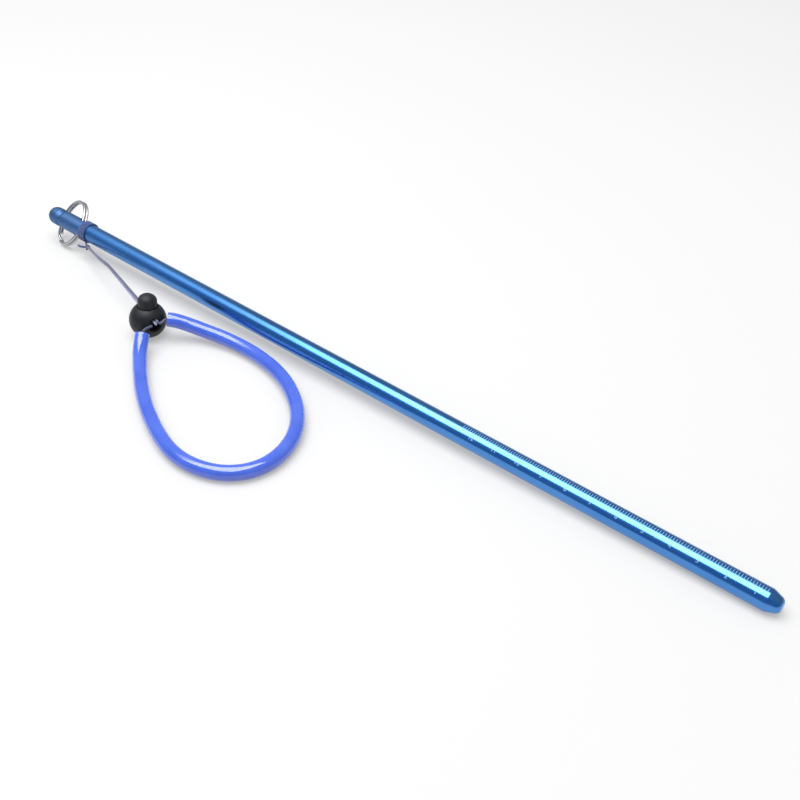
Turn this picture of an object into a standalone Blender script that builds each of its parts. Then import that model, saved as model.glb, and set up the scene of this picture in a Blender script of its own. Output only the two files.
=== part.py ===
"""Diving pointer stick with a split ring and an adjustable wrist lanyard.

An aluminium rod lies on the ground with its bullet tip at +X. Its head is propped on a split ring that
runs through a cross hole. A cord whipped round the rod beside the hole leads through a ball cord lock
into a hollow wrist loop. Lengths are in metres, +Z is up and the ground is z = 0. Places along the
lanyard are counted from the head's end, so one offset moves the whole object into its own frame.
"""
import math

import bpy
from mathutils import Euler, Vector

MM = 0.001

# Rod
ROD_LENGTH = 362.2 * MM
ROD_RADIUS = 4.0 * MM
TIP_TAPER = 4.5 * MM
TIP_FLAT_RADIUS = 1.2 * MM
NOSE_RADIUS = 3.1 * MM
NOSE_LENGTH = 2.4 * MM
DOME_LENGTH = 3.6 * MM
DOME_FLAT_RADIUS = 1.5 * MM
GROOVE_FROM_HEAD = 7.9 * MM
GROOVE_WIDTH = 1.4 * MM
GROOVE_DEPTH = 0.8 * MM
HOLE_FROM_HEAD = 20.6 * MM
HOLE_RADIUS = 2.1 * MM
HOLE_LEAN = math.radians(42)
HOLE_HEIGHT = 11.0 * MM
ROD_STEPS = 40
LOCK_STEPS = 32

# Split ring: two turns of round wire, side by side
RING_RADIUS = 10.38 * MM
RING_WIRE_RADIUS = 0.6 * MM
RING_PITCH = 1.4 * MM
RING_FOLD = math.radians(18.6)
RING_CROSSOVER = math.radians(28)
RING_START = math.radians(255)

# Cord and its whipping on the rod
CORD_RADIUS = 0.5 * MM
PAIR_RADIUS = 1.1 * MM
WHIP_FROM_HEAD = 23.1 * MM
WHIP_CORD_RADIUS = 0.35 * MM
WHIP_TURNS = 7
WHIP_PITCH = 0.68 * MM
FIT_GAP = 0.3 * MM
KNOT_RADIUS = 1.4 * MM

# Ball cord lock
BALL_RADIUS = 7.6 * MM
BALL_PLACE = Vector((95.8, -25.5, 7.6)) * MM
CORD_HEADING = math.radians(-17.3)
LOCK_ROLL = math.radians(-6.5)
CORD_BORE_RADIUS = 2.9 * MM
CORD_BORE_HEIGHT = 8.5 * MM
BUTTON_RADIUS = 3.9 * MM
BUTTON_BORE_RADIUS = 4.2 * MM
BUTTON_BORE_FLOOR = 3.0 * MM
BUTTON_BOTTOM = 7.2 * MM
BUTTON_TOP = 19.3 * MM
BUTTON_DOME = 3.0 * MM
WINDOW_BOTTOM = 8.5 * MM
WINDOW_TOP = 13.8 * MM
WINDOW_WIDTH = 4.6 * MM
POCKET_RADIUS = 2.6 * MM
POCKET_FLOOR = 1.7 * MM
SPRING_RADIUS = 1.9 * MM
SPRING_WIRE_RADIUS = 0.2 * MM
SPRING_TURNS = 3.5

# Wrist loop
TUBE_RADIUS = 3.0 * MM
TUBE_WALL = 1.0 * MM

# The frame's origin is under the middle of the rod and its ring
HEAD_PLACE = Vector((-181.06, -2.42, 0.0)) * MM

KNOT_PLACE = (29.9, -4.8, 6.9)

# Routes in millimetres from the head's end, chosen by hand along the lie of each cord
TETHER_ROUTE = [
    (31.3, -5.1, 7.1), (34.4, -6.0, 7.5), (38.6, -7.5, 8.1), (43.6, -9.1, 8.8), (48.8, -10.5, 9.4),
    (54.0, -11.7, 9.8), (62.0, -14.14, 9.9), (74.0, -17.88, 9.9), (86.0, -21.62, 9.9),
    (96.03, -24.74, 9.9), (103.8, -27.16, 9.9),
]
TUBE_ROUTE = [
    (104.2, -22.1, 9.4), (106.4, -20.3, 8.9), (109.2, -18.3, 7.9), (113.1, -15.9, 6.4), (118.4, -13.6, 5.0),
    (124.8, -11.7, 4.1), (131.8, -10.5, 3.4), (139.8, -10.2, 3.05), (147.8, -11.0, 3.0), (155.3, -12.5, 3.0),
    (162.8, -15.0, 3.0), (169.8, -18.4, 3.0), (176.3, -22.6, 3.0), (181.8, -27.3, 3.0), (186.3, -32.5, 3.0),
    (189.8, -38.3, 3.0), (192.0, -44.5, 3.0), (192.8, -50.5, 3.0), (192.1, -56.3, 3.0), (189.6, -61.8, 3.0),
    (185.5, -66.2, 3.0), (180.3, -69.3, 3.0), (173.8, -71.2, 3.0), (166.8, -71.7, 3.0), (159.3, -70.6, 3.0),
    (151.3, -68.0, 3.0), (142.8, -64.3, 3.0), (133.8, -59.6, 3.0), (124.8, -53.9, 3.0), (116.7, -47.9, 3.0),
    (111.2, -43.4, 3.5), (107.3, -39.9, 4.5), (104.9, -37.2, 5.8), (103.5, -35.4, 7.0), (102.7, -34.1, 8.2),
]
LOOP_CORD_STARTS = [(104.6, -26.5, 9.9), (104.7, -25.2, 9.9), (104.0, -23.3, 9.7)]
LOOP_CORD_ENDS = [(102.5, -32.3, 9.2), (103.5, -29.7, 9.8)]
TAIL_ROUTE = [(28.2, -5.3, 6.6), (26.4, -5.9, 6.5), (24.6, -5.8, 6.3)]

TILT = math.asin((HOLE_HEIGHT - ROD_RADIUS) / (ROD_LENGTH - HOLE_FROM_HEAD - TIP_TAPER))


def clear_scene():
    for item in list(bpy.data.objects):
        bpy.data.objects.remove(item, do_unlink=True)


def new_collection(name):
    collection = bpy.data.collections.new(name)
    bpy.context.scene.collection.children.link(collection)
    return collection


def new_material(name, colour, roughness, metallic=0.0):
    material = bpy.data.materials.new(name)
    material.use_nodes = True
    shader = material.node_tree.nodes["Principled BSDF"]
    shader.inputs["Base Color"].default_value = (*colour, 1.0)
    shader.inputs["Roughness"].default_value = roughness
    shader.inputs["Metallic"].default_value = metallic
    return material


def new_empty(name, parent, place=(0, 0, 0), turn=(0, 0, 0)):
    empty = bpy.data.objects.new(name, None)
    parts.objects.link(empty)
    empty.parent = parent
    empty.location = place
    empty.rotation_euler = turn
    return empty


def add_object(name, data, parent, material, turn=(0, 0, 0), collection=None):
    thing = bpy.data.objects.new(name, data)
    (collection or parts).objects.link(thing)
    thing.parent = parent
    thing.rotation_euler = turn
    if material:
        data.materials.append(material)
    return thing


def turned(name, profile, parent, material, closed=False, steps=ROD_STEPS, turn=(0, 0, 0), collection=None):
    """Turn a profile of (radius, height) points, listed from the top down, round the local Z axis."""
    mesh = bpy.data.meshes.new(name)
    edges = [(i, i + 1) for i in range(len(profile) - 1)]
    if closed:
        edges.append((len(profile) - 1, 0))
    mesh.from_pydata([(radius, 0, height) for radius, height in profile], edges, [])
    thing = add_object(name, mesh, parent, material, turn=turn, collection=collection)
    screw = thing.modifiers.new("turn", "SCREW")
    screw.steps = steps
    screw.render_steps = steps
    screw.use_smooth_shade = True
    screw.use_merge_vertices = True
    screw.merge_threshold = 0.00001
    return thing


def arc(centre, radius_x, radius_z, start, end, count):
    """Points on an elliptic arc of a profile, from start to end in degrees."""
    points = []
    for i in range(count + 1):
        angle = math.radians(start + (end - start) * i / count)
        points.append((centre[0] + radius_x * math.cos(angle), centre[1] + radius_z * math.sin(angle)))
    return points


def smooth_route(route, step):
    """Points about one step apart on a smooth curve through a route given in millimetres."""
    knots = [Vector(point) * MM for point in route]
    knots = [2 * knots[0] - knots[1]] + knots + [2 * knots[-1] - knots[-2]]
    dense = []
    for a, b, c, d in zip(knots, knots[1:], knots[2:], knots[3:]):
        for i in range(12):
            t = i / 12
            dense.append(0.5 * (2 * b + (c - a) * t + (2 * a - 5 * b + 4 * c - d) * t ** 2
                                + (3 * b - a - 3 * c + d) * t ** 3))
    dense.append(knots[-2])
    runs = [0.0]
    for a, b in zip(dense, dense[1:]):
        runs.append(runs[-1] + (b - a).length)
    count = max(2, round(runs[-1] / step))
    points = []
    at = 0
    for i in range(count + 1):
        want = runs[-1] * i / count
        while at < len(runs) - 2 and runs[at + 1] < want:
            at += 1
        part = (want - runs[at]) / max(runs[at + 1] - runs[at], 1e-9)
        points.append(dense[at].lerp(dense[at + 1], min(part, 1.0)))
    return points


def wire(name, points, radius, parent, material, resolution=2, capped=True):
    """A round wire, cord or tube along the points."""
    curve = bpy.data.curves.new(name, "CURVE")
    curve.dimensions = "3D"
    curve.bevel_depth = radius
    curve.bevel_resolution = resolution
    curve.use_fill_caps = capped
    spline = curve.splines.new("POLY")
    spline.points.add(len(points) - 1)
    for slot, point in zip(spline.points, points):
        slot.co = (*point, 1.0)
    return add_object(name, curve, parent, material)


def cut(thing, cutter):
    cutter.hide_render = True
    cutter.display_type = "WIRE"
    boolean = thing.modifiers.new("cut", "BOOLEAN")
    boolean.operation = "DIFFERENCE"
    boolean.solver = "EXACT"
    boolean.object = cutter


def rod_profile():
    """The rod's outline from the tip's flat down to the head's flat, with heights from the cross hole."""
    tip = ROD_LENGTH - HOLE_FROM_HEAD
    head = -HOLE_FROM_HEAD
    groove = head + GROOVE_FROM_HEAD
    nose = arc((TIP_FLAT_RADIUS, tip - NOSE_LENGTH), NOSE_RADIUS - TIP_FLAT_RADIUS, NOSE_LENGTH, 90, 25, 5)
    dome = arc((DOME_FLAT_RADIUS, head + DOME_LENGTH), ROD_RADIUS - DOME_FLAT_RADIUS, DOME_LENGTH, 0, -90, 7)
    return [
        (0, tip), *nose, (ROD_RADIUS, tip - TIP_TAPER),
        (ROD_RADIUS, groove + GROOVE_WIDTH / 2 + GROOVE_DEPTH),
        (ROD_RADIUS - GROOVE_DEPTH, groove + GROOVE_WIDTH / 2),
        (ROD_RADIUS - GROOVE_DEPTH, groove - GROOVE_WIDTH / 2),
        (ROD_RADIUS, groove - GROOVE_WIDTH / 2 - GROOVE_DEPTH),
        *dome, (0, head),
    ]


def make_rod(stick, hole):
    along_stick = (0, math.pi / 2, 0)
    rod = turned("rod", rod_profile(), stick, anodised, turn=along_stick)
    drill = turned("hole_drill", [(0, 2 * ROD_RADIUS), (HOLE_RADIUS, 2 * ROD_RADIUS),
                                  (HOLE_RADIUS, -2 * ROD_RADIUS), (0, -2 * ROD_RADIUS)],
                   hole, None, steps=24, collection=cutters)
    cut(rod, drill)


def make_split_ring(hole):
    """One wire in two flat turns, stepping sideways from one to the other near its ends."""
    pivot = new_empty("ring_pivot", hole, turn=(0, 0, math.pi - RING_FOLD))
    end = 4 * math.pi - RING_CROSSOVER - math.radians(6)
    count = 66
    points = []
    for i in range(count + 1):
        run = end * i / count
        step = (run - 2 * math.pi + RING_CROSSOVER) / RING_CROSSOVER
        side = math.cos(math.pi * min(max(step, 0), 1))
        angle = RING_START + run
        points.append(Vector((RING_RADIUS * (1 - math.cos(angle)), RING_PITCH / 2 * side,
                              RING_RADIUS * math.sin(angle))))
    wire("split_ring", points, RING_WIRE_RADIUS, pivot, steel)


def make_whipping(stick):
    """The cord's turns round the rod, as one sleeve whose outline follows the turns."""
    inner = ROD_RADIUS + FIT_GAP
    start = WHIP_FROM_HEAD - HOLE_FROM_HEAD
    outline = []
    for turn in reversed(range(WHIP_TURNS)):
        middle = start + (turn + 0.5) * WHIP_PITCH
        outline += arc((inner + WHIP_CORD_RADIUS, middle), WHIP_CORD_RADIUS, 0.47 * WHIP_PITCH, 75, -75, 3)
    profile = outline + [(inner, start), (inner, start + WHIP_TURNS * WHIP_PITCH)]
    turned("cord_whipping", profile, stick, cord, closed=True, steps=24, turn=(0, math.pi / 2, 0))


def make_knot(lanyard):
    bpy.ops.mesh.primitive_uv_sphere_add(segments=16, ring_count=10, radius=KNOT_RADIUS)
    knot = bpy.context.object
    knot.name = "tether_knot"
    for owner in list(knot.users_collection):
        owner.objects.unlink(knot)
    parts.objects.link(knot)
    knot.parent = lanyard
    knot.location = Vector(KNOT_PLACE) * MM
    knot.data.materials.append(cord)
    knot.data.shade_smooth()
    wire("cord_tail", smooth_route(TAIL_ROUTE, 1.2 * MM), CORD_RADIUS, lanyard, cord)


def make_lock_body(lock):
    """A ball with a stepped blind bore from the top and a cross bore for the cord."""
    outside = arc((0, BALL_RADIUS), BALL_RADIUS, BALL_RADIUS, 90, -90, 18)
    ball = turned("lock_body", outside, lock, black_plastic, steps=LOCK_STEPS)
    over = 2.5 * BALL_RADIUS
    steps_down = [(0, over), (BUTTON_BORE_RADIUS, over), (BUTTON_BORE_RADIUS, BUTTON_BORE_FLOOR),
                  (POCKET_RADIUS, BUTTON_BORE_FLOOR), (POCKET_RADIUS, POCKET_FLOOR), (0, POCKET_FLOOR)]
    cut(ball, turned("button_bore", steps_down, lock, None, steps=LOCK_STEPS, collection=cutters))
    straight = [(0, over), (CORD_BORE_RADIUS, over), (CORD_BORE_RADIUS, -over), (0, -over)]
    cross = turned("cord_bore", straight, lock, None, steps=24, turn=(0, math.pi / 2, 0), collection=cutters)
    cross.location.z = CORD_BORE_HEIGHT
    cut(ball, cross)


def make_lock_button(lock):
    """A domed plunger with a window whose lower edge holds the cord against the ball's bore."""
    dome = arc((0, BUTTON_TOP - BUTTON_DOME), BUTTON_RADIUS, BUTTON_DOME, 90, 0, 10)
    button = turned("lock_button", [*dome, (BUTTON_RADIUS, BUTTON_BOTTOM + 0.4 * MM),
                                    (BUTTON_RADIUS - 0.4 * MM, BUTTON_BOTTOM), (0, BUTTON_BOTTOM)],
                    lock, black_rubbery, steps=LOCK_STEPS)
    bpy.ops.mesh.primitive_cube_add(size=1)
    window = bpy.context.object
    window.name = "button_window"
    for owner in list(window.users_collection):
        owner.objects.unlink(window)
    cutters.objects.link(window)
    window.parent = lock
    window.location = (0, 0, (WINDOW_BOTTOM + WINDOW_TOP) / 2)
    window.scale = (4 * BUTTON_RADIUS, WINDOW_WIDTH, WINDOW_TOP - WINDOW_BOTTOM)
    cut(button, window)


def make_lock_spring(lock):
    bottom = POCKET_FLOOR + FIT_GAP / 2 + SPRING_WIRE_RADIUS
    rise = BUTTON_BOTTOM - FIT_GAP / 2 - SPRING_WIRE_RADIUS - bottom
    count = round(SPRING_TURNS * 16)
    points = []
    for i in range(count + 1):
        angle = 2 * math.pi * SPRING_TURNS * i / count
        points.append(Vector((SPRING_RADIUS * math.cos(angle), SPRING_RADIUS * math.sin(angle),
                              bottom + rise * i / count)))
    wire("lock_spring", points, SPRING_WIRE_RADIUS, lock, steel)


def make_wrist_loop(lanyard):
    tube = wire("wrist_tube", smooth_route(TUBE_ROUTE, 5.5 * MM), TUBE_RADIUS, lanyard, blue_tube,
                resolution=4, capped=False)
    wall = tube.modifiers.new("wall", "SOLIDIFY")
    wall.thickness = TUBE_WALL
    wall.offset = -1.0
    loop_route = LOOP_CORD_STARTS + TUBE_ROUTE + LOOP_CORD_ENDS
    wire("loop_cord", smooth_route(loop_route, 4.6 * MM), CORD_RADIUS, lanyard, cord)


clear_scene()
parts = new_collection("pointer_stick")
cutters = new_collection("cutters")
anodised = new_material("blue_anodised", (0.03, 0.18, 0.52), 0.25, 1.0)
steel = new_material("polished_steel", (0.72, 0.72, 0.74), 0.22, 1.0)
cord = new_material("slate_cord", (0.12, 0.13, 0.26), 0.8)
black_plastic = new_material("black_plastic", (0.012, 0.012, 0.014), 0.45)
black_rubbery = new_material("black_button", (0.016, 0.016, 0.018), 0.5)
blue_tube = new_material("clear_blue_tube", (0.08, 0.14, 0.85), 0.12)

lanyard_frame = new_empty("lanyard_frame", None, place=HEAD_PLACE)
hole_offset = HOLE_FROM_HEAD * math.cos(TILT)
stick_frame = new_empty("stick_frame", lanyard_frame, place=(hole_offset, 0, HOLE_HEIGHT), turn=(0, TILT, 0))
hole_frame = new_empty("hole_frame", stick_frame, turn=(-HOLE_LEAN, 0, 0))
lock_turn = Euler((LOCK_ROLL, 0, CORD_HEADING))
lock_foot = BALL_PLACE - lock_turn.to_matrix() @ Vector((0, 0, BALL_RADIUS))
lock_frame = new_empty("lock_frame", lanyard_frame, place=lock_foot, turn=lock_turn)

make_rod(stick_frame, hole_frame)
make_split_ring(hole_frame)
make_whipping(stick_frame)
make_knot(lanyard_frame)
wire("tether_cord", smooth_route(TETHER_ROUTE, 4 * MM), PAIR_RADIUS, lanyard_frame, cord)
make_lock_body(lock_frame)
make_lock_button(lock_frame)
make_lock_spring(lock_frame)
make_wrist_loop(lanyard_frame)
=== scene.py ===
"""Looks of a diving pointer stick with a split ring and an adjustable wrist lanyard.

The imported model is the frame. Each piece here stands for one CAD node, in finer form, and rides on its
body. The scale's ticks and numbers stand for none: they lie on the rod. Lengths are in metres, and the
lanyard's routes are in millimetres from the head's end, as in the part's source.
"""
import math

import bmesh
import bpy
from mathutils import Euler, Matrix, Vector


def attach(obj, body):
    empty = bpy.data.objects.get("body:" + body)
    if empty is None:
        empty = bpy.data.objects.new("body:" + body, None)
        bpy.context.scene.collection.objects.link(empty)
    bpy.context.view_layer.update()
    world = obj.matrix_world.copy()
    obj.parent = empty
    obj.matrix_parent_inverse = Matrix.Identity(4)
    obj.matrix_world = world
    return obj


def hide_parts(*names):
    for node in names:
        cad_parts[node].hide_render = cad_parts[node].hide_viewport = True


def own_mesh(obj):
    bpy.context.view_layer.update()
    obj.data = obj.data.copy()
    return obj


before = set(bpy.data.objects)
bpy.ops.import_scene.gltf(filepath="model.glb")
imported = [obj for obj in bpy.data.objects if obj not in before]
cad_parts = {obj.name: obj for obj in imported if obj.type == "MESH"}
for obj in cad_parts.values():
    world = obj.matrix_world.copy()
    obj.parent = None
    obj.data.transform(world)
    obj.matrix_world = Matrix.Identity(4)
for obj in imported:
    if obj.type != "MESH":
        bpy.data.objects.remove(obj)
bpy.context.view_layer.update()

MM = 0.001

# Rod, as the part's source has it
ROD_LENGTH = 362.2 * MM
ROD_RADIUS = 4.0 * MM
TIP_TAPER = 4.5 * MM
TIP_FLAT_RADIUS = 1.2 * MM
NOSE_RADIUS = 3.1 * MM
NOSE_LENGTH = 2.4 * MM
DOME_LENGTH = 3.6 * MM
DOME_FLAT_RADIUS = 1.5 * MM
GROOVE_FROM_HEAD = 7.9 * MM
GROOVE_WIDTH = 1.4 * MM
GROOVE_DEPTH = 0.8 * MM
HOLE_FROM_HEAD = 20.6 * MM
HOLE_RADIUS = 2.1 * MM
HOLE_LEAN = math.radians(42)
HOLE_HEIGHT = 11.0 * MM
TILT = math.asin((HOLE_HEIGHT - ROD_RADIUS) / (ROD_LENGTH - HOLE_FROM_HEAD - TIP_TAPER))
HEAD_PLACE = Vector((-181.06, -2.42, 0.0)) * MM

# Split ring
RING_RADIUS = 10.38 * MM
RING_WIRE_RADIUS = 0.6 * MM
RING_PITCH = 1.4 * MM
RING_FOLD = math.radians(18.6)
RING_CROSSOVER = math.radians(28)
RING_START = math.radians(255)
RING_GAP = math.radians(6)

# Cord, whipping, knot
CORD_RADIUS = 0.5 * MM
BRAID_LAY = 2.4 * MM
BRAID_PLAITS = 8
BRAID_DEPTH = 0.045
WHIP_FROM_HEAD = 23.1 * MM
WHIP_CORD_RADIUS = 0.35 * MM
WHIP_TURNS = 7
WHIP_PITCH = 0.68 * MM
WHIP_RADIUS = ROD_RADIUS + 0.38 * MM
WHIP_LEAVES = math.radians(205)
KNOT_PLACE = Vector((29.9, -4.8, 6.9)) * MM
KNOT_SCALE = 0.30 * MM
KNOT_LEAN = math.radians(60)
STRAND_RADIUS = 0.55 * MM
STRAND_OFFSET = 0.55 * MM
TWIST_START = math.radians(56)
TWIST_END = math.radians(149)

# Ball cord lock
BALL_RADIUS = 7.6 * MM
BALL_PLACE = Vector((95.8, -25.5, 7.6)) * MM
CORD_HEADING = math.radians(-17.3)
LOCK_ROLL = math.radians(-6.5)
CORD_BORE_RADIUS = 2.9 * MM
CORD_BORE_HEIGHT = 8.5 * MM
BUTTON_RADIUS = 3.9 * MM
BUTTON_BORE_RADIUS = 4.2 * MM
BUTTON_BORE_FLOOR = 3.0 * MM
BUTTON_BOTTOM = 7.2 * MM
BUTTON_TOP = 19.3 * MM
BUTTON_DOME = 3.0 * MM
WINDOW_BOTTOM = 8.5 * MM
WINDOW_TOP = 13.8 * MM
WINDOW_WIDTH = 4.6 * MM
POCKET_RADIUS = 2.6 * MM
POCKET_FLOOR = 1.7 * MM
SPRING_RADIUS = 1.9 * MM
SPRING_WIRE_RADIUS = 0.2 * MM
SPRING_TURNS = 3.5
SPRING_GAP = 0.15 * MM

# Wrist tube
TUBE_RADIUS = 3.0 * MM
TUBE_WALL = 1.0 * MM
TUBE_LIP = 0.25 * MM

# Scale on the rod, counted from the tip; angles run round the rod from +Y towards +Z
SCALE_MARKS = 125
SCALE_ZERO = 1.5 * MM
SCALE_NUMBERS = 12
TICK_WIDTH = 0.2 * MM
TICK_TOP = math.radians(78)
TICK_ENDS = {1: math.radians(101), 5: math.radians(108), 10: math.radians(116)}
DIGIT_HEIGHT = 1.7 * MM
DIGIT_BOTTOM = math.radians(141)
MARK_RAISED = 0.02 * MM
MARK_SUNK = 0.05 * MM
CAPITAL_SHARE = 0.7

# Routes in millimetres, as in the part's source
TETHER_ROUTE = [
    (31.3, -5.1, 7.1), (34.4, -6.0, 7.5), (38.6, -7.5, 8.1), (43.6, -9.1, 8.8), (48.8, -10.5, 9.4),
    (54.0, -11.7, 9.8), (62.0, -14.14, 9.9), (74.0, -17.88, 9.9), (86.0, -21.62, 9.9),
    (96.03, -24.74, 9.9), (103.8, -27.16, 9.9),
]
TUBE_ROUTE = [
    (104.2, -22.1, 9.4), (106.4, -20.3, 8.9), (109.2, -18.3, 7.9), (113.1, -15.9, 6.4), (118.4, -13.6, 5.0),
    (124.8, -11.7, 4.1), (131.8, -10.5, 3.4), (139.8, -10.2, 3.05), (147.8, -11.0, 3.0), (155.3, -12.5, 3.0),
    (162.8, -15.0, 3.0), (169.8, -18.4, 3.0), (176.3, -22.6, 3.0), (181.8, -27.3, 3.0), (186.3, -32.5, 3.0),
    (189.8, -38.3, 3.0), (192.0, -44.5, 3.0), (192.8, -50.5, 3.0), (192.1, -56.3, 3.0), (189.6, -61.8, 3.0),
    (185.5, -66.2, 3.0), (180.3, -69.3, 3.0), (173.8, -71.2, 3.0), (166.8, -71.7, 3.0), (159.3, -70.6, 3.0),
    (151.3, -68.0, 3.0), (142.8, -64.3, 3.0), (133.8, -59.6, 3.0), (124.8, -53.9, 3.0), (116.7, -47.9, 3.0),
    (111.2, -43.4, 3.5), (107.3, -39.9, 4.5), (104.9, -37.2, 5.8), (103.5, -35.4, 7.0), (102.7, -34.1, 8.2),
]
LOOP_CORD_STARTS = [(104.6, -26.5, 9.9), (104.7, -25.2, 9.9), (104.0, -23.3, 9.7)]
LOOP_CORD_ENDS = [(102.5, -32.3, 9.2), (103.5, -29.7, 9.8)]
TAIL_ROUTE = [(28.2, -5.3, 6.6), (26.4, -5.9, 6.5), (24.6, -5.8, 6.3)]


# Frames

LANYARD = Matrix.Translation(HEAD_PLACE)
HOLE_OFFSET = HOLE_FROM_HEAD * math.cos(TILT)
STICK = LANYARD @ Matrix.Translation((HOLE_OFFSET, 0, HOLE_HEIGHT)) @ Matrix.Rotation(TILT, 4, "Y")
HOLE = STICK @ Matrix.Rotation(-HOLE_LEAN, 4, "X")
RING = HOLE @ Matrix.Rotation(math.pi - RING_FOLD, 4, "Z")
LOCK = (LANYARD @ Matrix.Translation(BALL_PLACE) @ Euler((LOCK_ROLL, 0, CORD_HEADING)).to_matrix().to_4x4()
        @ Matrix.Translation((0, 0, -BALL_RADIUS)))


# Mesh making

class Shell:
    """Gathers rings of points into one mesh with UVs: u goes round a ring, v along the run in millimetres."""

    def __init__(self):
        self.points = []
        self.faces = []
        self.uvs = []
        self.slots = []

    def add_rings(self, rings, runs=None, wrap=False, slot=0):
        """Joins each ring to the next. An unwrapped run is closed by a cap at each end."""
        sides = len(rings[0])
        count = len(rings)
        first = len(self.points)
        runs = runs or [0.0] * count
        for ring in rings:
            self.points += [Vector(point) for point in ring]
        for i in range(count if wrap else count - 1):
            after = (i + 1) % count
            for j in range(sides):
                right = (j + 1) % sides
                corners = [(i, j, j), (i, right, j + 1), (after, right, j + 1), (after, j, j)]
                self.faces.append([first + ring * sides + side for ring, side, _ in corners])
                self.uvs.append([(turn / sides, runs[ring] / MM) for ring, _, turn in corners])
                self.slots.append(slot)
        if not wrap:
            for ring in (0, count - 1):
                self.faces.append([first + ring * sides + side for side in range(sides)])
                self.uvs.append([(side / sides, runs[ring] / MM) for side in range(sides)])
                self.slots.append(slot)

    def make(self, name, materials, place=Matrix.Identity(4), sharp=math.radians(40)):
        mesh = bpy.data.meshes.new(name)
        mesh.from_pydata(self.points, [], self.faces)
        layer = mesh.uv_layers.new(name="run")
        corner = 0
        for face_uvs in self.uvs:
            for pair in face_uvs:
                layer.data[corner].uv = pair
                corner += 1
        mesh.polygons.foreach_set("material_index", self.slots)
        thing = bpy.data.objects.new(name, mesh)
        bpy.context.scene.collection.objects.link(thing)
        thing.matrix_world = place
        for material in materials:
            mesh.materials.append(material)
        face_outwards(mesh)
        mesh.shade_smooth()
        mesh.set_sharp_from_angle(angle=sharp)
        return thing


def face_outwards(mesh):
    work = bmesh.new()
    work.from_mesh(mesh)
    bmesh.ops.recalc_face_normals(work, faces=work.faces)
    work.to_mesh(mesh)
    work.free()


def arc(centre, radius_r, radius_z, start, end, count):
    """Points on an elliptic arc of a profile, from start to end in degrees."""
    points = []
    for i in range(count + 1):
        angle = math.radians(start + (end - start) * i / count)
        points.append((centre[0] + radius_r * math.cos(angle), centre[1] + radius_z * math.sin(angle)))
    return points


def softened(profile, radius, count=3):
    """A profile with each corner replaced by a small arc that starts at most radius before it."""
    result = [profile[0]]
    for before, corner, after in zip(profile, profile[1:], profile[2:]):
        here = Vector(corner)
        back, ahead = Vector(before) - here, Vector(after) - here
        if back.angle(ahead, math.pi) > math.radians(168):
            result.append(corner)
            continue
        reach = min(radius, back.length * 0.45, ahead.length * 0.45)
        start, end = here + back.normalized() * reach, here + ahead.normalized() * reach
        for i in range(count + 1):
            t = i / count
            result.append(tuple(start * (1 - t) ** 2 + here * 2 * t * (1 - t) + end * t ** 2))
    result.append(profile[-1])
    return result


def turned_rings(profile, steps):
    """Rings round local Z, one for each (radius, height) of the profile."""
    rings = []
    for radius, height in profile:
        rings.append([(radius * math.cos(2 * math.pi * j / steps), radius * math.sin(2 * math.pi * j / steps),
                       height) for j in range(steps)])
    return rings


def turned(name, profile, steps, materials, place, wrap=False, sharp=math.radians(40)):
    shell = Shell()
    runs = [0.0]
    for a, b in zip(profile, profile[1:]):
        runs.append(runs[-1] + math.dist(a, b))
    shell.add_rings(turned_rings(profile, steps), runs, wrap=wrap)
    return shell.make(name, materials, place, sharp)


def smooth_route(route, step):
    """Points about one step apart on a smooth curve through a route given in millimetres."""
    knots = [Vector(point) * MM for point in route]
    knots = [2 * knots[0] - knots[1]] + knots + [2 * knots[-1] - knots[-2]]
    dense = []
    for a, b, c, d in zip(knots, knots[1:], knots[2:], knots[3:]):
        for i in range(24):
            t = i / 24
            dense.append(0.5 * (2 * b + (c - a) * t + (2 * a - 5 * b + 4 * c - d) * t ** 2
                                + (3 * b - a - 3 * c + d) * t ** 3))
    dense.append(knots[-2])
    return evenly(dense, step)


def evenly(dense, step):
    """The same line with points about one step apart."""
    runs = running_lengths(dense)
    count = max(2, round(runs[-1] / step))
    points = []
    at = 0
    for i in range(count + 1):
        want = runs[-1] * i / count
        while at < len(runs) - 2 and runs[at + 1] < want:
            at += 1
        part = (want - runs[at]) / max(runs[at + 1] - runs[at], 1e-9)
        points.append(dense[at].lerp(dense[at + 1], min(part, 1.0)))
    return points


def running_lengths(points):
    runs = [0.0]
    for a, b in zip(points, points[1:]):
        runs.append(runs[-1] + (b - a).length)
    return runs


def carried_frames(points):
    """A tangent and two side directions at each point, carried along without twist."""
    tangents = []
    for i in range(len(points)):
        ahead = points[min(i + 1, len(points) - 1)]
        behind = points[max(i - 1, 0)]
        tangents.append((ahead - behind).normalized())
    side = tangents[0].orthogonal().normalized()
    frames = []
    for tangent in tangents:
        side = (side - tangent * side.dot(tangent)).normalized()
        frames.append((tangent, side, tangent.cross(side)))
    return frames


def ring_at(point, axes, radius, sides, relief=None, run=0.0):
    _, side, other = axes
    ring = []
    for j in range(sides):
        angle = 2 * math.pi * j / sides
        reach = radius * (relief(angle, run) if relief else 1.0)
        ring.append(point + reach * (math.cos(angle) * side + math.sin(angle) * other))
    return ring


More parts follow.
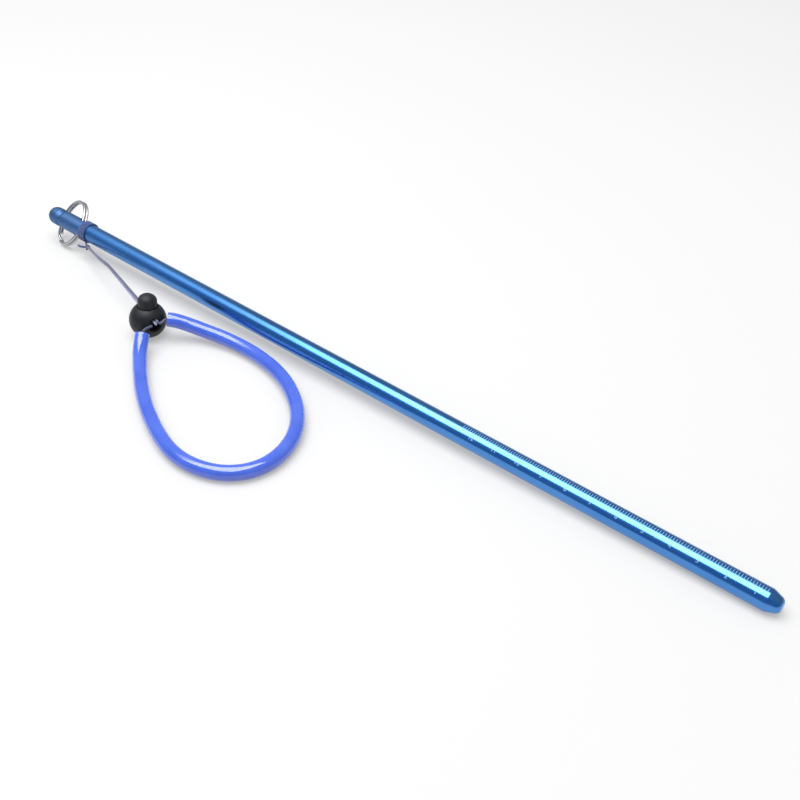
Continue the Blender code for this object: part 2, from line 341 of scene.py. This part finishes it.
def add_strand(shell, points, radius, sides, relief=None, slot=0, bulge=0.5):
    """A solid strand with rounded ends."""
    frames = carried_frames(points)
    runs = running_lengths(points)
    rings, ring_runs = [], []
    steps = (75, 50, 25)
    for degrees in steps:
        angle = math.radians(degrees)
        centre = points[0] - frames[0][0] * radius * bulge * math.sin(angle)
        rings.append(ring_at(centre, frames[0], radius * math.cos(angle), sides))
        ring_runs.append(0.0)
    for point, axes, run in zip(points, frames, runs):
        rings.append(ring_at(point, axes, radius, sides, relief, run))
        ring_runs.append(run)
    for degrees in reversed(steps):
        angle = math.radians(degrees)
        centre = points[-1] + frames[-1][0] * radius * bulge * math.sin(angle)
        rings.append(ring_at(centre, frames[-1], radius * math.cos(angle), sides))
        ring_runs.append(runs[-1])
    shell.add_rings(rings, ring_runs, slot=slot)


def braided(angle, run):
    """Outline of a round braid: its plaits cross, and go once round the cord in each lay."""
    turn = 2 * math.pi * run / BRAID_LAY
    each_way = BRAID_PLAITS / 2
    crossing = math.cos(each_way * (angle + turn)) * math.cos(each_way * (angle - turn))
    return 1.0 - BRAID_DEPTH + BRAID_DEPTH * crossing


def applied(thing):
    """Replaces a piece's mesh by what its modifiers make of it."""
    bpy.context.view_layer.update()
    evaluated = thing.evaluated_get(bpy.context.evaluated_depsgraph_get())
    mesh = bpy.data.meshes.new_from_object(evaluated)
    thing.modifiers.clear()
    thing.data = mesh
    return thing


def cut(thing, cutter, edge=0.0):
    """Cuts a piece by a cutter and breaks the sharp edges that the cut leaves."""
    boolean = thing.modifiers.new("cut", "BOOLEAN")
    boolean.object = cutter
    if edge:
        bevel = thing.modifiers.new("edge", "BEVEL")
        bevel.width = edge
        bevel.segments = 2
        bevel.limit_method = "ANGLE"
        bevel.angle_limit = math.radians(38)
    applied(thing)
    bpy.data.objects.remove(cutter, do_unlink=True)


# Material making

def new_node(tree, kind, inputs=None, **settings):
    made = tree.nodes.new(kind)
    for key, value in settings.items():
        setattr(made, key, value)
    for key, value in (inputs or {}).items():
        if isinstance(value, bpy.types.NodeSocket):
            tree.links.new(value, made.inputs[key])
        else:
            made.inputs[key].default_value = value
    return made


def new_material(name, **values):
    """A Principled material with these values set on its own sockets. Underscores stand for spaces."""
    material = bpy.data.materials.new(name)
    material.use_nodes = True
    shader = material.node_tree.nodes["Principled BSDF"]
    for key, value in values.items():
        shader.inputs[key.replace("_", " ")].default_value = value
    return material, material.node_tree, shader


def mapped(tree, scale, source="Object"):
    coordinates = new_node(tree, "ShaderNodeTexCoord")
    return new_node(tree, "ShaderNodeMapping", {"Vector": coordinates.outputs[source], "Scale": scale})


def noise(tree, scale, detail=2.0, stretch=(1, 1, 1), source="Object"):
    place = mapped(tree, stretch, source)
    return new_node(tree, "ShaderNodeTexNoise",
                    {"Vector": place.outputs[0], "Scale": scale, "Detail": detail}).outputs["Fac"]


def ramp(tree, value, low, high, start, end):
    """Maps a value from low..high to start..end, held at both ends."""
    return new_node(tree, "ShaderNodeMapRange", {"Value": value, "From Min": low, "From Max": high,
                                                 "To Min": start, "To Max": end}).outputs[0]


def blended(tree, part, first, second, how="MIX"):
    mix = new_node(tree, "ShaderNodeMix", data_type="RGBA", blend_type=how)
    for index, value in ((0, part), (6, first), (7, second)):
        if isinstance(value, bpy.types.NodeSocket):
            tree.links.new(value, mix.inputs[index])
        else:
            mix.inputs[index].default_value = value
    return mix.outputs[2]


def calculated(tree, how, first, second=0.0):
    made = new_node(tree, "ShaderNodeMath", operation=how)
    for index, value in enumerate((first, second)):
        if isinstance(value, bpy.types.NodeSocket):
            tree.links.new(value, made.inputs[index])
        else:
            made.inputs[index].default_value = value
    return made.outputs[0]


def bump(tree, shader, height, distance, strength=1.0):
    made = new_node(tree, "ShaderNodeBump", {"Height": height, "Distance": distance, "Strength": strength})
    tree.links.new(made.outputs[0], shader.inputs["Normal"])


def anodised_material():
    """Blue anodised aluminium with drawing lines, satin at its head; painted shade darkens its colour towards
    the head, where the softbox's light fades.
    """
    material, tree, shader = new_material("blue_anodised", Metallic=1.0)
    lines = noise(tree, 900, 3, (0.02, 1, 1))
    clouds = noise(tree, 60, 3)
    along = new_node(tree, "ShaderNodeSeparateXYZ",
                     {"Vector": new_node(tree, "ShaderNodeTexCoord").outputs["Object"]}).outputs[0]
    head = ramp(tree, along, 0.0 * MM, 4.0 * MM, 1.0, 0.0)
    polish = ramp(tree, along, -10 * MM, 120 * MM, 0.45, 0.20)
    cloudy = ramp(tree, clouds, 0.35, 0.65, 0.0, 1.0)
    colour = blended(tree, cloudy, (0.076, 0.245, 0.59, 1), (0.087, 0.265, 0.63, 1))
    colour = blended(tree, head, colour, (0.12, 0.25, 0.52, 1))
    # painted shade: the blue is multiplied darker towards the head, in step with the softbox's light fading
    # there
    painted_head_shade = ramp(tree, along, -20 * MM, 75 * MM, 0.66, 1.0)
    colour = blended(tree, 1.0, colour, painted_head_shade, "MULTIPLY")
    tree.links.new(colour, shader.inputs["Base Color"])
    rough = blended(tree, head, polish, (0.5, 0.5, 0.5, 1))
    spread = calculated(tree, "ADD", rough, ramp(tree, lines, 0.3, 0.7, -0.03, 0.04))
    tree.links.new(spread, shader.inputs["Roughness"])
    bump(tree, shader, lines, 0.004 * MM, 0.5)
    return material


def mark_material():
    """Bare etched metal where the dye was burnt away."""
    material, tree, shader = new_material("etched_scale", Metallic=0.35)
    grain = noise(tree, 4000, 2)
    colour = blended(tree, ramp(tree, grain, 0.3, 0.7, 0, 1), (0.11, 0.27, 0.55, 1), (0.18, 0.37, 0.66, 1))
    tree.links.new(colour, shader.inputs["Base Color"])
    tree.links.new(ramp(tree, grain, 0.3, 0.7, 0.5, 0.65), shader.inputs["Roughness"])
    return material


def steel_material(name, roughness):
    material, tree, shader = new_material(name, Metallic=1.0)
    draw = noise(tree, 700, 3)
    colour = blended(tree, draw, (0.40, 0.41, 0.42, 1), (0.52, 0.52, 0.54, 1))
    tree.links.new(colour, shader.inputs["Base Color"])
    tree.links.new(ramp(tree, draw, 0.3, 0.7, roughness - 0.05, roughness + 0.07), shader.inputs["Roughness"])
    bump(tree, shader, draw, 0.01 * MM, 0.4)
    return material


def cord_material(name, dark, light):
    """Braided cord: plaits cross along the run, with a little fuzz and fading; painted shade darkens the
    hollows between the plaits.
    """
    material, tree, shader = new_material(name, Sheen_Weight=0.35, Sheen_Roughness=0.5)
    place = mapped(tree, (BRAID_PLAITS, BRAID_PLAITS * MM / BRAID_LAY, 1), "UV")
    parts = new_node(tree, "ShaderNodeSeparateXYZ", {"Vector": place.outputs[0]})
    first = calculated(tree, "SINE", calculated(tree, "MULTIPLY",
                       calculated(tree, "ADD", parts.outputs[0], parts.outputs[1]), math.pi))
    second = calculated(tree, "SINE", calculated(tree, "MULTIPLY",
                        calculated(tree, "SUBTRACT", parts.outputs[0], parts.outputs[1]), math.pi))
    plait = calculated(tree, "MULTIPLY", first, second)
    fuzz = noise(tree, 6000, 3)
    fade = noise(tree, 150, 2)
    # painted shade in the hollows between plaits, plus random fading of the cord's colour
    painted_plait_shade_and_fading = calculated(tree, "ADD", ramp(tree, plait, -1, 1, 0.0, 0.6), ramp(tree, fade, 0.3, 0.7, 0.0, 0.4))
    tree.links.new(blended(tree, painted_plait_shade_and_fading, dark, light), shader.inputs["Base Color"])
    tree.links.new(ramp(tree, fuzz, 0.3, 0.7, 0.75, 0.92), shader.inputs["Roughness"])
    height = calculated(tree, "ADD", plait, calculated(tree, "MULTIPLY", fuzz, 0.6))
    bump(tree, shader, height, 0.05 * MM, 0.6)
    return material


def plastic_material(name, colour, roughness):
    """Moulded black plastic with a fine spark-eroded texture."""
    material, tree, shader = new_material(name, Specular_IOR_Level=0.25)
    grain = noise(tree, 5200, 2)
    handling = noise(tree, 260, 3)
    lighter = tuple(channel * 1.7 for channel in colour[:3]) + (1,)
    worn = blended(tree, ramp(tree, handling, 0.35, 0.7, 0, 1), colour, lighter)
    tree.links.new(worn, shader.inputs["Base Color"])
    rough = ramp(tree, handling, 0.3, 0.7, roughness - 0.05, roughness + 0.08)
    tree.links.new(rough, shader.inputs["Roughness"])
    bump(tree, shader, grain, 0.03 * MM, 0.5)
    return material


def tube_material():
    """Clear blue soft tube, slightly cloudy in its wall."""
    material, tree, shader = new_material("clear_blue_tube", Transmission_Weight=0.5, IOR=1.45,
                                          Coat_Weight=1.0, Coat_Roughness=0.04)
    clouds = noise(tree, 120, 3)
    colour = blended(tree, ramp(tree, clouds, 0.3, 0.7, 0, 1), (0.065, 0.14, 0.70, 1), (0.09, 0.18, 0.76, 1))
    tree.links.new(colour, shader.inputs["Base Color"])
    tree.links.new(ramp(tree, clouds, 0.3, 0.7, 0.08, 0.14), shader.inputs["Roughness"])
    return material


# Pieces

def finish_piece(thing, body, slot, *nodes):
    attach(thing, body)
    if nodes:
        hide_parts(*nodes)
    return thing


def in_row_frame(points):
    return [LANYARD @ point for point in points]


def make_tether():
    """Two cords side by side with a slow lay, from the knot to behind the lock."""
    middle = in_row_frame(smooth_route(TETHER_ROUTE, 0.5 * MM))
    frames = carried_frames(middle)
    shell = Shell()
    spread = TWIST_END - TWIST_START
    for strand in range(2):
        points = []
        for i, (point, (tangent, _, _)) in enumerate(zip(middle, frames)):
            level = tangent.cross(Vector((0, 0, 1))).normalized()
            turn = TWIST_START + spread * i / (len(middle) - 1) + strand * math.pi
            aside = math.cos(turn) * level + math.sin(turn) * level.cross(tangent)
            points.append(point + STRAND_OFFSET * aside)
        add_strand(shell, evenly(points, 0.25 * MM), STRAND_RADIUS, 16, braided, slot=strand)
    tether = shell.make("tether_pair", [dark_cord, light_cord])
    finish_piece(tether, "stick", "cord", "tether_cord")
    return tether, middle


def make_knot():
    """A small tight knot, drawn as a trefoil whose turns press together."""
    shell = Shell()
    count = 96
    points = []
    for i in range(count + 1):
        t = 2 * math.pi * i / count
        points.append(Vector((math.sin(t) + 2 * math.sin(2 * t), math.cos(t) - 2 * math.cos(2 * t),
                              -1.4 * math.sin(3 * t))) * KNOT_SCALE)
    rings = []
    for i in range(count):
        tangent = (points[(i + 1) % count] - points[i - 1]).normalized()
        side = (points[i] - tangent * points[i].dot(tangent)).normalized()
        rings.append(ring_at(points[i], (tangent, side, tangent.cross(side)), CORD_RADIUS * 0.98, 14))
    runs = [BRAID_LAY * i / 12 for i in range(count)]
    shell.add_rings(rings, runs, wrap=True)
    place = LANYARD @ Matrix.Translation(KNOT_PLACE) @ Matrix.Rotation(KNOT_LEAN, 4, "X")
    return finish_piece(shell.make("lead_knot", [dark_cord], place), "stick", "cord", "tether_knot")


def make_tail():
    shell = Shell()
    points = in_row_frame(smooth_route(TAIL_ROUTE, 0.2 * MM))
    add_strand(shell, points, CORD_RADIUS, 16, braided, bulge=0.8)
    return finish_piece(shell.make("cut_tail", [whip_cord]), "stick", "cord", "cord_tail")


def make_loop_cord():
    points = in_row_frame(smooth_route(LOOP_CORD_STARTS + TUBE_ROUTE + LOOP_CORD_ENDS, 0.5 * MM))
    shell = Shell()
    add_strand(shell, points, CORD_RADIUS, 12, braided)
    cord = finish_piece(shell.make("loop_core_cord", [dark_cord]), "stick", "cord", "loop_cord")
    return cord, points


def make_tube():
    """A hollow tube with softly rounded cut ends."""
    points = in_row_frame(smooth_route(TUBE_ROUTE, 1.6 * MM))
    frames = carried_frames(points)
    runs = running_lengths(points)
    sides = 40
    middle = TUBE_RADIUS - TUBE_WALL / 2
    rings, ring_runs = [], []

    def add_ring(index, radius, shift=0.0):
        tangent = frames[index][0]
        rings.append(ring_at(points[index] + tangent * shift, frames[index], radius, sides))
        ring_runs.append(runs[index])

    for degrees in (180, 150, 120, 90, 60, 30):
        angle = math.radians(degrees)
        reach = TUBE_WALL / 2 * math.cos(angle)
        add_ring(0, middle + reach, TUBE_LIP * (1 - math.sin(angle)))
    for index in range(1, len(points) - 1):
        add_ring(index, TUBE_RADIUS)
    for degrees in (0, 30, 60, 90, 120, 150):
        angle = math.radians(degrees)
        reach = TUBE_WALL / 2 * math.cos(angle)
        add_ring(len(points) - 1, middle + reach, -TUBE_LIP * (1 - math.sin(angle)))
    for index in range(len(points) - 2, 0, -1):
        add_ring(index, TUBE_RADIUS - TUBE_WALL)
    shell = Shell()
    shell.add_rings(rings, ring_runs, wrap=True)
    tube = finish_piece(shell.make("wrist_loop_tube", [tube_blue]), "stick", "soft_tube", "wrist_tube")
    return tube, points


def rod_outline():
    """(radius, place along the rod from the hole) from the head to the tip."""
    tip = ROD_LENGTH - HOLE_FROM_HEAD
    head = -HOLE_FROM_HEAD
    groove = head + GROOVE_FROM_HEAD
    half = GROOVE_WIDTH / 2
    dome = arc((DOME_FLAT_RADIUS, head + DOME_LENGTH), ROD_RADIUS - DOME_FLAT_RADIUS, DOME_LENGTH, -90, 0, 18)
    groove_corners = [
        (ROD_RADIUS, groove - half - 2 * GROOVE_DEPTH), (ROD_RADIUS, groove - half - GROOVE_DEPTH),
        (ROD_RADIUS - GROOVE_DEPTH, groove - half), (ROD_RADIUS - GROOVE_DEPTH, groove + half),
        (ROD_RADIUS, groove + half + GROOVE_DEPTH), (ROD_RADIUS, groove + half + 2 * GROOVE_DEPTH),
    ]
    nose = arc((TIP_FLAT_RADIUS, tip - NOSE_LENGTH), NOSE_RADIUS - TIP_FLAT_RADIUS, NOSE_LENGTH, 25, 90, 14)
    tip_corners = [(ROD_RADIUS, tip - 2 * TIP_TAPER), (ROD_RADIUS, tip - TIP_TAPER), nose[0]]
    return [
        (0.1 * MM, head), *dome, *softened(groove_corners, 0.3 * MM), *softened(tip_corners, 0.25 * MM),
        *nose[1:], (0.1 * MM, tip),
    ]


def with_extra_rings(outline, longest):
    """Adds rings to the long plain stretches, so that faces stay well shaped."""
    result = [outline[0]]
    for a, b in zip(outline, outline[1:]):
        count = max(1, math.ceil(math.dist(a, b) / longest))
        for i in range(1, count + 1):
            result.append((a[0] + (b[0] - a[0]) * i / count, a[1] + (b[1] - a[1]) * i / count))
    return result


def make_rod():
    along = Matrix.Rotation(math.pi / 2, 4, "Y")
    shell = Shell()
    outline = with_extra_rings(rod_outline(), 6 * MM)
    shell.add_rings([[along @ Vector(point) for point in ring] for ring in turned_rings(outline, 96)])
    rod = shell.make("pointer_rod", [anodised], STICK, math.radians(30))
    reach = 2 * ROD_RADIUS
    drill = turned("drill", [(HOLE_RADIUS, reach), (HOLE_RADIUS, -reach)], 64, [], HOLE)
    cut(rod, drill, 0.12 * MM)
    rod.data.set_sharp_from_angle(angle=math.radians(30))
    return finish_piece(rod, "stick", "blue_rod", "rod")


def on_rod(x, angle, radius):
    return Vector((x, radius * math.cos(angle), radius * math.sin(angle)))


def add_tick(shell, x, start, end):
    """A thin curved bar round part of the rod."""
    count = 8
    outer, inner = ROD_RADIUS + MARK_RAISED, ROD_RADIUS - MARK_SUNK
    rings = []
    for i in range(count + 1):
        angle = start + (end - start) * i / count
        rings.append([on_rod(x - TICK_WIDTH / 2, angle, outer), on_rod(x + TICK_WIDTH / 2, angle, outer),
                      on_rod(x + TICK_WIDTH / 2, angle, inner), on_rod(x - TICK_WIDTH / 2, angle, inner)])
    shell.add_rings(rings)


def make_ticks():
    zero = ROD_LENGTH - HOLE_FROM_HEAD + SCALE_ZERO
    shell = Shell()
    first = math.ceil((SCALE_ZERO + TIP_TAPER + TICK_WIDTH) / MM)
    for mark in range(first, SCALE_MARKS + 1):
        kind = 10 if mark % 10 == 0 else 5 if mark % 5 == 0 else 1
        add_tick(shell, zero - mark * MM, TICK_TOP, TICK_ENDS[kind])
    return finish_piece(shell.make("scale_ticks", [etched], STICK), "stick", "blue_rod")


def flat_number(number):
    """A number as a thin flat solid, its middle and its foot at the origin, cut into narrow strips."""
    curve = bpy.data.curves.new("number", "FONT")
    curve.body = str(number)
    curve.align_x = "CENTER"
    curve.size = DIGIT_HEIGHT / CAPITAL_SHARE
    curve.extrude = (MARK_RAISED + MARK_SUNK) / 2
    curve.resolution_u = 3
    holder = bpy.data.objects.new("number", curve)
    bpy.context.scene.collection.objects.link(holder)
    bpy.context.view_layer.update()
    mesh = bpy.data.meshes.new_from_object(holder.evaluated_get(bpy.context.evaluated_depsgraph_get()))
    bpy.data.objects.remove(holder, do_unlink=True)
    work = bmesh.new()
    work.from_mesh(mesh)
    bpy.data.meshes.remove(mesh)
    bmesh.ops.remove_doubles(work, verts=work.verts, dist=0.001 * MM)
    strips = 8
    for i in range(1, strips):
        bmesh.ops.bisect_plane(work, geom=work.verts[:] + work.edges[:] + work.faces[:],
                               plane_co=(0, DIGIT_HEIGHT * i / strips, 0), plane_no=(0, 1, 0))
    return work


def make_numbers():
    """Numbers 1 to 12 counted in centimetres, bent round the rod."""
    zero = ROD_LENGTH - HOLE_FROM_HEAD + SCALE_ZERO
    whole = bmesh.new()
    for number in range(1, SCALE_NUMBERS + 1):
        work = flat_number(number)
        middle = zero - 10 * number * MM
        for vert in work.verts:
            painted_head_shade = vert.co.z + (MARK_RAISED - MARK_SUNK) / 2
            vert.co = on_rod(middle + vert.co.x, DIGIT_BOTTOM - vert.co.y / ROD_RADIUS, ROD_RADIUS + painted_head_shade)
        piece = bpy.data.meshes.new("piece")
        work.to_mesh(piece)
        work.free()
        whole.from_mesh(piece)
        bpy.data.meshes.remove(piece)
    bmesh.ops.recalc_face_normals(whole, faces=whole.faces)
    mesh = bpy.data.meshes.new("scale_numbers")
    whole.to_mesh(mesh)
    whole.free()
    mesh.materials.append(etched)
    numbers = bpy.data.objects.new("scale_numbers", mesh)
    bpy.context.scene.collection.objects.link(numbers)
    numbers.matrix_world = STICK
    return finish_piece(numbers, "stick", "blue_rod")


def make_ring():
    end = 4 * math.pi - RING_CROSSOVER - RING_GAP
    count = 320
    points = []
    for i in range(count + 1):
        run = end * i / count
        step = (run - 2 * math.pi + RING_CROSSOVER) / RING_CROSSOVER
        side = math.cos(math.pi * min(max(step, 0), 1))
        angle = RING_START + run
        points.append(Vector((RING_RADIUS * (1 - math.cos(angle)), RING_PITCH / 2 * side,
                              RING_RADIUS * math.sin(angle))))
    shell = Shell()
    add_strand(shell, points, RING_WIRE_RADIUS, 20, bulge=0.35)
    return finish_piece(shell.make("key_ring", [ring_steel], RING), "ring", "steel", "split_ring")


def make_whipping():
    """The cord's turns round the rod, one fewer than the CAD sleeve has; the last leads to the knot."""
    start = WHIP_FROM_HEAD - HOLE_FROM_HEAD + WHIP_PITCH / 2
    turns = WHIP_TURNS - 1
    points = []
    steps = 48
    for i in range(steps * turns + 1):
        turn = i / steps
        angle = WHIP_LEAVES - 2 * math.pi * (turns - turn)
        points.append(on_rod(start + WHIP_PITCH * turn, angle, WHIP_RADIUS))
    knot = STICK.inverted() @ (LANYARD @ KNOT_PLACE)
    ahead = (points[-1] - points[-2]).normalized()
    last = points[-1]
    reach = (knot - last).length
    for i in range(1, 9):
        t = i / 8
        points.append(last.lerp(knot, t) + ahead * reach * 0.5 * t * (1 - t))
    shell = Shell()
    add_strand(shell, evenly(points, 0.2 * MM), WHIP_CORD_RADIUS, 14, braided)
    return finish_piece(shell.make("cord_wraps", [whip_cord], STICK), "stick", "cord", "cord_whipping")


def ball_profile():
    """The ball's section from the pocket's floor, up the bore, over the rim and down the outside."""
    middle = BALL_RADIUS
    rim_height = middle + math.sqrt(BALL_RADIUS ** 2 - BUTTON_BORE_RADIUS ** 2)
    rim_angle = math.degrees(math.asin((rim_height - middle) / BALL_RADIUS))
    inside = [
        (0.15 * MM, POCKET_FLOOR), (POCKET_RADIUS, POCKET_FLOOR), (POCKET_RADIUS, BUTTON_BORE_FLOOR),
        (BUTTON_BORE_RADIUS, BUTTON_BORE_FLOOR), (BUTTON_BORE_RADIUS, rim_height - 1.0 * MM),
        (BUTTON_BORE_RADIUS, rim_height - 0.1 * MM),
    ]
    outside = arc((0, middle), BALL_RADIUS, BALL_RADIUS, rim_angle - 1.5, -88.8, 60)
    return softened(inside + outside[:2], 0.35 * MM, 4)[:-1] + outside[1:]


def make_ball():
    ball = turned("lock_ball", ball_profile(), 96, [black_plastic], LOCK, sharp=math.radians(35))
    reach = 2.5 * BALL_RADIUS
    place = LOCK @ Matrix.Translation((0, 0, CORD_BORE_HEIGHT)) @ Matrix.Rotation(math.pi / 2, 4, "Y")
    cross = turned("cross", [(CORD_BORE_RADIUS, reach), (CORD_BORE_RADIUS, -reach)], 64, [], place)
    cut(ball, cross, 0.22 * MM)
    ball.data.set_sharp_from_angle(angle=math.radians(35))
    return finish_piece(ball, "lock", "lock_plastic", "lock_body")


def make_button():
    dome = arc((0, BUTTON_TOP - BUTTON_DOME), BUTTON_RADIUS, BUTTON_DOME, 88, 0, 28)
    profile = [*dome, (BUTTON_RADIUS, BUTTON_BOTTOM + 0.4 * MM), (BUTTON_RADIUS - 0.4 * MM, BUTTON_BOTTOM),
               (0.15 * MM, BUTTON_BOTTOM)]
    button = turned("lock_plunger", with_extra_rings(profile, 2 * MM), 80, [black_button], LOCK)
    bpy.ops.mesh.primitive_cube_add(size=1)
    window = bpy.context.object
    size = Matrix.Diagonal((4 * BUTTON_RADIUS, WINDOW_WIDTH, WINDOW_TOP - WINDOW_BOTTOM, 1))
    window.matrix_world = LOCK @ Matrix.Translation((0, 0, (WINDOW_BOTTOM + WINDOW_TOP) / 2)) @ size
    cut(button, window, 0.15 * MM)
    button.data.set_sharp_from_angle(angle=math.radians(35))
    return finish_piece(button, "button", "lock_plastic", "lock_button")


def make_spring():
    """A coil spring standing between the pocket's floor and the plunger's foot."""
    foot = POCKET_FLOOR + SPRING_GAP
    height = BUTTON_BOTTOM - SPRING_GAP - foot
    bottom = foot + SPRING_WIRE_RADIUS
    rise = height - 2 * SPRING_WIRE_RADIUS
    count = round(SPRING_TURNS * 48)
    points = []
    for i in range(count + 1):
        angle = 2 * math.pi * SPRING_TURNS * i / count
        points.append(Vector((SPRING_RADIUS * math.cos(angle), SPRING_RADIUS * math.sin(angle),
                              bottom + rise * i / count)))
    shell = Shell()
    add_strand(shell, points, SPRING_WIRE_RADIUS, 12)
    spring = finish_piece(shell.make("plunger_spring", [spring_steel], LOCK), "lock", "steel", "lock_spring")
    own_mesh(spring)
    return spring


# Studio

def make_camera():
    data = bpy.data.cameras.new("camera")
    data.lens = 51.71
    data.sensor_width = 36
    data.clip_start = 0.01
    camera = bpy.data.objects.new("camera", data)
    bpy.context.scene.collection.objects.link(camera)
    camera.location = Vector((243.35, -260.02, 272.76)) * MM
    camera.rotation_euler = (math.radians(51.69), 0, math.radians(39.934))
    bpy.context.scene.camera = camera


def make_floor():
    bpy.ops.mesh.primitive_plane_add(size=8, location=(0, 0, -0.0001))
    floor = bpy.context.object
    floor.name = "floor"
    material, tree, shader = new_material("pale_floor", Roughness=0.9, Specular_IOR_Level=0.1,
                                          Emission_Color=(1, 1, 1, 1), Emission_Strength=0.35)
    tint = noise(tree, 3, 2)
    colour = blended(tree, tint, (0.27, 0.27, 0.271, 1), (0.28, 0.28, 0.281, 1))
    tree.links.new(colour, shader.inputs["Base Color"])
    floor.data.materials.append(material)


def add_softbox(name, place, turn, size, brightness):
    """A rectangular light of even radiance."""
    data = bpy.data.lights.new(name, "AREA")
    data.shape = "RECTANGLE"
    data.size, data.size_y = size
    data.energy = brightness * math.pi * size[0] * size[1]
    light = bpy.data.objects.new(name, data)
    bpy.context.scene.collection.objects.link(light)
    light.location = place
    light.rotation_euler = turn
    return light


def make_studio():
    """A long softbox that fades towards the rod's head, in a white room that gloss sees as dim."""
    lean = math.radians(7.5)
    softbox = add_softbox("overhead_softbox", (-0.45, -math.sin(lean), math.cos(lean)), (lean, 0, 0),
                          (1.6, 0.88), 6.5)
    softbox.data.use_nodes = True
    tree = softbox.data.node_tree
    position = new_node(tree, "ShaderNodeNewGeometry").outputs["Position"]
    place = new_node(tree, "ShaderNodeSeparateXYZ", {"Vector": position})
    fade = calculated(tree, "POWER", ramp(tree, place.outputs[0], -0.96, -0.56, 0.0, 1.0), 1.8)
    tree.links.new(fade, tree.nodes["Emission"].inputs["Strength"])
    world = bpy.data.worlds.new("studio")
    bpy.context.scene.world = world
    world.use_nodes = True
    tree = world.node_tree
    background = tree.nodes["Background"]
    direction = new_node(tree, "ShaderNodeSeparateXYZ",
                         {"Vector": new_node(tree, "ShaderNodeTexCoord").outputs["Generated"]})
    front = ramp(tree, direction.outputs[1], -0.5, 0.1, 1.0, 0.0)
    room = blended(tree, front, (0.35, 0.35, 0.35, 1), (0.16, 0.29, 0.43, 1))
    mirrored = new_node(tree, "ShaderNodeLightPath").outputs["Is Glossy Ray"]
    tree.links.new(blended(tree, mirrored, (1.0, 1.0, 1.0, 1), room), background.inputs["Color"])
    bpy.context.scene.view_settings.view_transform = "Standard"


make_camera()

dark_cord = cord_material("slate_cord", (0.022, 0.028, 0.065, 1), (0.065, 0.075, 0.145, 1))
light_cord = cord_material("lavender_cord", (0.11, 0.11, 0.22, 1), (0.22, 0.21, 0.38, 1))
whip_cord = cord_material("whipping_cord", (0.005, 0.022, 0.10, 1), (0.012, 0.05, 0.18, 1))
tube_blue = tube_material()

tether, tether_middle = make_tether()
knot = make_knot()
tail = make_tail()
loop_cord, loop_points = make_loop_cord()
tube, tube_points = make_tube()

anodised = anodised_material()
etched = mark_material()
ring_steel = steel_material("ring_steel", 0.34)
spring_steel = steel_material("spring_steel", 0.28)
black_plastic = plastic_material("black_ball_plastic", (0.008, 0.008, 0.010, 1), 0.42)
black_button = plastic_material("black_button_plastic", (0.010, 0.010, 0.012, 1), 0.5)

make_rod()
make_ticks()
make_numbers()
make_ring()
make_whipping()
make_ball()
make_button()
make_spring()

make_floor()
make_studio()
